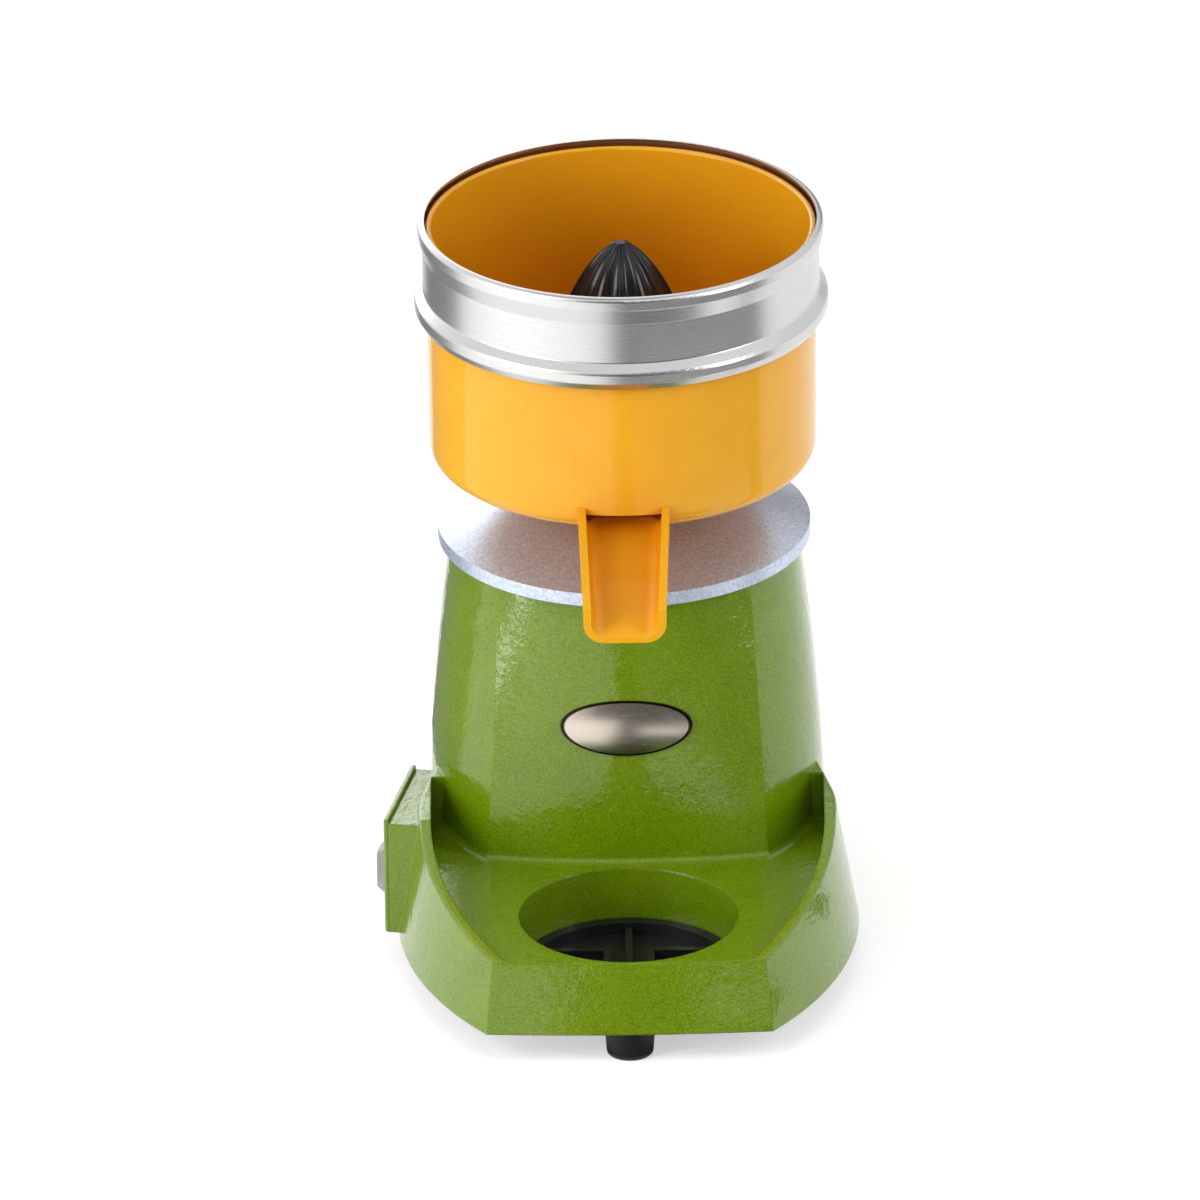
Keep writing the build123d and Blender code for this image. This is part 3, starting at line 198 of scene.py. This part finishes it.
def orange_plastic():
    """Glossy moulded plastic with a little light let through, and painted shade, deeper and
    redder, in its hollows.
    """
    look = Look("orange_plastic", Subsurface_Weight=0.1, Subsurface_Scale=0.004,
                Coat_Weight=0.35, Coat_Roughness=0.05, IOR=1.45)
    look.shader.inputs["Specular IOR Level"].default_value = 0.3
    look.shader.inputs["Subsurface Radius"].default_value = (1.0, 0.5, 0.1)
    haze = look.ramp(look.noise(38, 3, 0.55), (0.25, 0.0), (0.8, 1.0))
    outside = look.blend(haze, (0.87, 0.41, 0.010), (0.92, 0.45, 0.014))
    # Painted shade: where the plastic is hemmed in, inside the bowl and the spout, its colour
    # turns deeper and redder.
    painted_shade_ao = look.node("AmbientOcclusion", samples=6)
    painted_shade_ao.inputs["Distance"].default_value = 0.09
    painted_shade_mask = look.ramp(painted_shade_ao.outputs["AO"], (0.3, 0.0), (0.95, 1.0))
    look.into("Base Color", look.blend(painted_shade_mask, (0.74, 0.225, 0.002), outside))
    look.into("Roughness", look.span(look.noise(300, 3, 0.6), 0.2, 0.3))
    look.into("Normal", look.bump(look.noise(90, 1, 0.5), 0.0004, 0.12, look.soft_edges(0.0006)))
    return look


def spun_metal():
    """Aluminium spun about the motor's axis: fine rings, brushed streaks in the roughness."""
    look = Look("spun_aluminium", Metallic=1.0, Anisotropic=0.4)
    parts = look.node("SeparateXYZ")
    look.link(look.coords, parts.inputs[0])
    height = look.along(parts.outputs["Z"])
    rings = look.noise(1100, 4, 0.7, 0, height)
    cloud = look.noise(40, 4, 0.6)
    shade = look.ramp(rings, (0.3, (0.60, 0.60, 0.60)), (0.7, (0.70, 0.70, 0.69)))
    look.into("Base Color", look.blend(look.span(cloud, 0.0, 0.3), shade, (0.52, 0.52, 0.53)))
    look.into("Roughness", look.span(look.noise(4000, 2, 0.6, 0, height), 0.2, 0.36))
    look.into("Normal", look.bump(rings, 0.00008, 0.45, look.bump(cloud, 0.0006, 0.05)))
    return look


def cast_metal():
    """Turned and tumbled aluminium casting: dull with a fine sandy grain and faint tool rings."""
    look = Look("cast_metal", Metallic=0.65)
    rings = look.noise(900, 3, 0.6, 0, look.along(look.radius()))
    grain = look.noise(1300, 3, 0.65)
    # The blue tint in these base colours is painted in: it cancels the orange light that the bowl
    # casts and mirrors onto the metal.
    look.into("Base Color", look.ramp(look.noise(620, 4, 0.7), (0.3, (0.42, 0.47, 0.58)),
                                      (0.7, (0.74, 0.82, 0.96))))
    look.into("Roughness", look.span(look.noise(260, 3, 0.6), 0.26, 0.4))
    look.into("Normal", look.bump(grain, 0.00012, 0.5, look.bump(rings, 0.00006, 0.4)))
    return look


def badge_metal():
    """Blank badge: champagne steel brushed across, with a dark line round its rim."""
    look = Look("badge_metal", Metallic=1.0, Anisotropic=0.3)
    grain = look.noise(60, 4, 0.7, 0, look.stretched((1, 40, 60)))
    brushed = look.ramp(grain, (0.3, (0.60, 0.53, 0.45)), (0.7, (0.70, 0.63, 0.54)))
    across = 2 / (BADGE_HIGH[0] - BADGE_LOW[0])
    upward = 2 / (BADGE_HIGH[2] - BADGE_LOW[2])
    oval = look.node("VectorMath", operation="LENGTH")
    look.link(look.stretched((across, 0, upward), (-AXIS_X * across, 0, -BADGE_Z * upward)),
              oval.inputs[0])
    line = look.ramp(oval.outputs["Value"], (0.93, 0.0), (0.95, 1.0))
    look.into("Base Color", look.blend(line, brushed, (0.035, 0.022, 0.014)))
    look.into("Roughness", look.span(grain, 0.18, 0.32))
    dome = look.node("Math", operation="MULTIPLY")
    look.link(oval.outputs["Value"], dome.inputs[0])
    look.link(oval.outputs["Value"], dome.inputs[1])
    look.into("Normal", look.bump(grain, 0.00003, 0.3, look.bump(dome.outputs[0], -0.0016, 1.0)))
    return look


def plain_plastic(name, colour, rough, grain_scale, grain_depth, **more):
    """Moulded plastic or rubber with a fine grain."""
    look = Look(name, **more)
    darker = tuple(0.8 * c for c in colour)
    look.into("Base Color", look.ramp(look.noise(80, 3, 0.6), (0.3, darker), (0.7, colour)))
    look.into("Roughness", look.span(look.noise(200, 2, 0.5), rough * 0.85, rough * 1.15))
    look.into("Normal", look.bump(look.noise(grain_scale, 2, 0.5), grain_depth, 0.6))
    return look


def smoke_plastic():
    """Dark translucent reamer plastic, polished by use on the ribs."""
    look = Look("smoke_plastic", IOR=1.4, Transmission_Weight=0.1)
    look.into("Base Color", look.ramp(look.noise(30, 2, 0.5), (0.3, (0.006, 0.007, 0.012)),
                                      (0.7, (0.014, 0.014, 0.019))))
    look.into("Roughness", look.span(look.noise(240, 3, 0.6), 0.14, 0.24))
    look.into("Normal", look.bump(look.noise(70, 1, 0.5), 0.0005, 0.15, look.soft_edges(0.0005)))
    return look


def steel(name, colour, rough, scale=500.0):
    """Machined or plated steel with a fine grain."""
    look = Look(name, Metallic=1.0)
    look.into("Base Color", look.ramp(look.noise(scale, 3, 0.6),
                                      (0.3, tuple(0.85 * c for c in colour)), (0.7, colour)))
    look.into("Roughness", look.span(look.noise(scale / 2, 2, 0.5), rough * 0.8, rough * 1.3))
    look.into("Normal", look.bump(look.noise(scale * 2, 1, 0.5), 0.00005, 0.4))
    return look


def wound_copper():
    """Varnished copper winding: turns as fine rings in the height."""
    look = Look("copper", Metallic=0.85, Roughness=0.35)
    turns = look.noise(900, 2, 0.5, 0, look.stretched((0.08, 0.08, 1)))
    look.into("Base Color", look.ramp(turns, (0.35, (0.20, 0.05, 0.015)),
                                      (0.65, (0.52, 0.19, 0.07))))
    look.into("Normal", look.bump(turns, 0.0004, 0.8))
    return look


make_camera()

looks = {
    "green_enamel": green_enamel(),
    "orange_plastic": orange_plastic(),
    "spun_aluminium": spun_metal(),
    "cast_aluminium": cast_metal(),
    "badge": badge_metal(),
    "black_plastic": plain_plastic("black_plastic", (0.012, 0.012, 0.013), 0.42, 1500, 0.0001),
    "rubber": plain_plastic("rubber", (0.014, 0.014, 0.015), 0.6, 700, 0.0002),
    "gland_plastic": plain_plastic("gland_plastic", (0.015, 0.015, 0.016), 0.5, 1200, 0.0001),
    "capacitor_shell": plain_plastic("capacitor_shell", (0.7, 0.7, 0.67), 0.35, 900, 0.00005),
    "white_plastic": plain_plastic("white_plastic", (0.75, 0.36, 0.04), 0.3, 900, 0.00006),
    "smoke_plastic": smoke_plastic(),
    "clear_boot": plain_plastic("clear_boot", (0.62, 0.62, 0.58), 0.3, 600, 0.0001,
                                Transmission_Weight=0.6, IOR=1.42),
    "zinc_steel": steel("zinc_steel", (0.62, 0.62, 0.58), 0.32),
    "bright_steel": steel("bright_steel", (0.66, 0.66, 0.66), 0.18),
    "lamination": steel("lamination", (0.3, 0.3, 0.32), 0.45, 900.0),
    "copper": wound_copper(),
}

slot_of = {entry["node"]: entry["material_slot"] for entry in frame["record"]["subparts"]}
for name, node in nodes.items():
    look = looks["badge" if name == "badge" else slot_of[name]]
    for slot in node.material_slots:
        slot.material = look.material
    if not node.material_slots:
        node.data.materials.append(look.material)


# ------------------------------------------------------------------ stage and light
def seen_directly(tree):
    """Is the ray a camera, glossy or transmission ray?"""
    path = tree.nodes.new("ShaderNodeLightPath")
    first, second = (tree.nodes.new("ShaderNodeMath") for _ in range(2))
    first.operation = second.operation = "MAXIMUM"
    tree.links.new(path.outputs["Is Camera Ray"], first.inputs[0])
    tree.links.new(path.outputs["Is Glossy Ray"], first.inputs[1])
    tree.links.new(first.outputs[0], second.inputs[0])
    tree.links.new(path.outputs["Is Transmission Ray"], second.inputs[1])
    return second.outputs[0]


def stage_plane(name, corners):
    """Flat piece of the stage with an empty material."""
    mesh = bpy.data.meshes.new(name)
    mesh.from_pydata(corners, [], [tuple(range(len(corners)))])
    plane = bpy.data.objects.new(name, mesh)
    bpy.context.scene.collection.objects.link(plane)
    material = bpy.data.materials.new(name)
    material.use_nodes = True
    mesh.materials.append(material)
    return plane, material.node_tree


def make_floor():
    """Pale floor: it takes the object's shadow and glows up to white where it is seen directly."""
    side = FLOOR_REACH
    _, tree = stage_plane("floor", [(-side, -side, 0), (side, -side, 0), (side, side, 0),
                                    (-side, side, 0)])
    shader = tree.nodes["Principled BSDF"]
    shader.inputs["Base Color"].default_value = (0.8, 0.8, 0.8, 1)
    shader.inputs["Roughness"].default_value = 0.9
    shader.inputs["Specular IOR Level"].default_value = 0.0
    shader.inputs["Emission Color"].default_value = (1, 1, 1, 1)
    level = tree.nodes.new("ShaderNodeMapRange")
    level.inputs["To Max"].default_value = FLOOR_GLOW
    tree.links.new(seen_directly(tree), level.inputs["Value"])
    tree.links.new(level.outputs[0], shader.inputs["Emission Strength"])


def make_card(name, corners, grey):
    """Grey studio card that only reflections see."""
    card, tree = stage_plane(name, corners)
    card.visible_camera = card.visible_diffuse = card.visible_shadow = False
    card.visible_transmission = False
    tree.nodes.clear()
    glow = tree.nodes.new("ShaderNodeEmission")
    glow.inputs["Color"].default_value = (grey, grey, grey, 1)
    glow.inputs["Strength"].default_value = 1.0
    out = tree.nodes.new("ShaderNodeOutputMaterial")
    tree.links.new(glow.outputs[0], out.inputs["Surface"])


def bearing(turn, reach, height):
    """Point at a bearing in degrees, counted to the right of the front, and a distance."""
    return (AXIS_X + reach * sin(radians(turn)), AXIS_Y - reach * cos(radians(turn)), height)


def floor_card(name, start, end, near, far, grey, height=CARD_HEIGHT):
    """Card on the floor between two bearings."""
    turns = [start + (end - start) * k / CARD_STEPS for k in range(CARD_STEPS + 1)]
    make_card(name, [bearing(turn, far, height) for turn in turns]
              + [bearing(turn, near, height) for turn in reversed(turns)], grey)


def wall_card(name, start, end, low, high, grey, reach=CARD_REACH):
    """Upright card between two bearings."""
    make_card(name, [bearing(start, reach, low), bearing(end, reach, low),
                     bearing(end, reach, high), bearing(start, reach, high)], grey)


def make_world():
    """White surroundings, at full strength only where they are seen directly or mirrored."""
    world = bpy.data.worlds.new("world")
    bpy.context.scene.world = world
    world.use_nodes = True
    tree = world.node_tree
    background = tree.nodes["Background"]
    background.inputs["Color"].default_value = (1, 1, 1, 1)
    level = tree.nodes.new("ShaderNodeMapRange")
    level.inputs["To Min"].default_value = WORLD_LIGHT
    level.inputs["To Max"].default_value = 1.0
    tree.links.new(seen_directly(tree), level.inputs["Value"])
    tree.links.new(level.outputs[0], background.inputs["Strength"])


def area_light(name, place, width, height, power):
    """Soft light that points at the object's middle."""
    data = bpy.data.lights.new(name, "AREA")
    data.shape, data.size, data.size_y, data.energy = "RECTANGLE", width, height, power
    light = bpy.data.objects.new(name, data)
    light.location = place
    light.rotation_euler = (Vector(AIM) - Vector(place)).to_track_quat("-Z", "Y").to_euler()
    bpy.context.scene.collection.objects.link(light)
    return light


make_floor()
make_world()
# Cards by the bearings they span, from front over right, then their extent and grey.
floor_card("floor_front", -5, 6, 0.2, CARD_REACH, 0.05)
floor_card("floor_right", 6, 76, 0.6, 0.95, 0.40)
floor_card("floor_right_far", 6, 76, 0.95, CARD_REACH, 0.14)
floor_card("floor_right_near", -8, 50, 0.25, 0.42, 0.07, CARD_HEIGHT + 0.001)
floor_card("floor_right_edge", 76, 84, 0.2, CARD_REACH, 0.04)
floor_card("floor_left_edge", -150, -102, 0.2, CARD_REACH, 0.25)
wall_card("wall_front", -24, 30, 0, 2.0, 0.12)
wall_card("wall_front_right", 30, 80, 0, 2.0, 0.16)
wall_card("wall_left", -75, -24, 0, 1.5, 0.85)
wall_card("wall_far_left", -125, -75, 0, 1.5, 1.0)
wall_card("wall_right", 84, 135, 0, 1.5, 0.9)
wall_card("wall_back", 146, 180, 0.4, 1.1, 0.12)
wall_card("wall_back_left", 182, 225, 0.3, 1.3, 3.2)
make_card("overhead", [(-0.5, -0.5, OVERHEAD_Z), (0.5, -0.5, OVERHEAD_Z),
                       (0.5, 0.6, OVERHEAD_Z), (-0.5, 0.6, OVERHEAD_Z)], 0.2)
area_light("key", (-1.5, -0.9, 0.8), 0.9, 1.5, 24)
area_light("fill", (1.6, -0.7, 0.9), 0.4, 1.5, 11)
area_light("top", (0, 0.3, 2.4), 1.6, 1.2, 8).visible_glossy = False

scene = bpy.context.scene
scene.view_settings.view_transform = "Standard"
